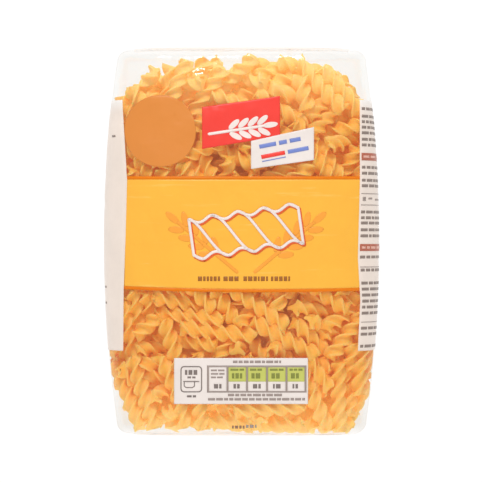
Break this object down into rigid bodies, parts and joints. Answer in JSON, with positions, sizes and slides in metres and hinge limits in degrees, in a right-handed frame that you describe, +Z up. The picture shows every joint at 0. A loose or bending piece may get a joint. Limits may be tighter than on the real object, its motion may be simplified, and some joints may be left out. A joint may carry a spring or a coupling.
{
  "type": "pasta packet",
  "caption": "Sealed clear film bag of dry pasta twists, a bulging block with flat folded ends, lying on its back with its printed front up.",
  "frame": {"origin": "on the ground under the middle of the packet, which lies on its back", "axes": "+Z up, out of the printed front; +Y along the packet's length, to its top end; +X across it, to the right as the front is read"},
  "size_m": [0.152, 0.2144, 0.0567],
  "materials": {
    "packet": "clear glossy film over amber pasta",
    "film": "clear glossy polypropylene film",
    "pasta": "dry durum wheat pasta, semi-matt and slightly translucent",
    "print_white": "white ink on the film",
    "print_yellow": "golden yellow ink on the film",
    "print_orange": "orange ink on the film",
    "print_tan": "tan ink on the film",
    "print_red": "red ink on the film",
    "print_green": "light green ink on the film",
    "print_dark": "dark grey and brown ink on the film",
    "print_blue": "blue ink on the film"
  },
  "bodies": {
    "root": {"packet": "packet"}
  },
  "joints": []
}
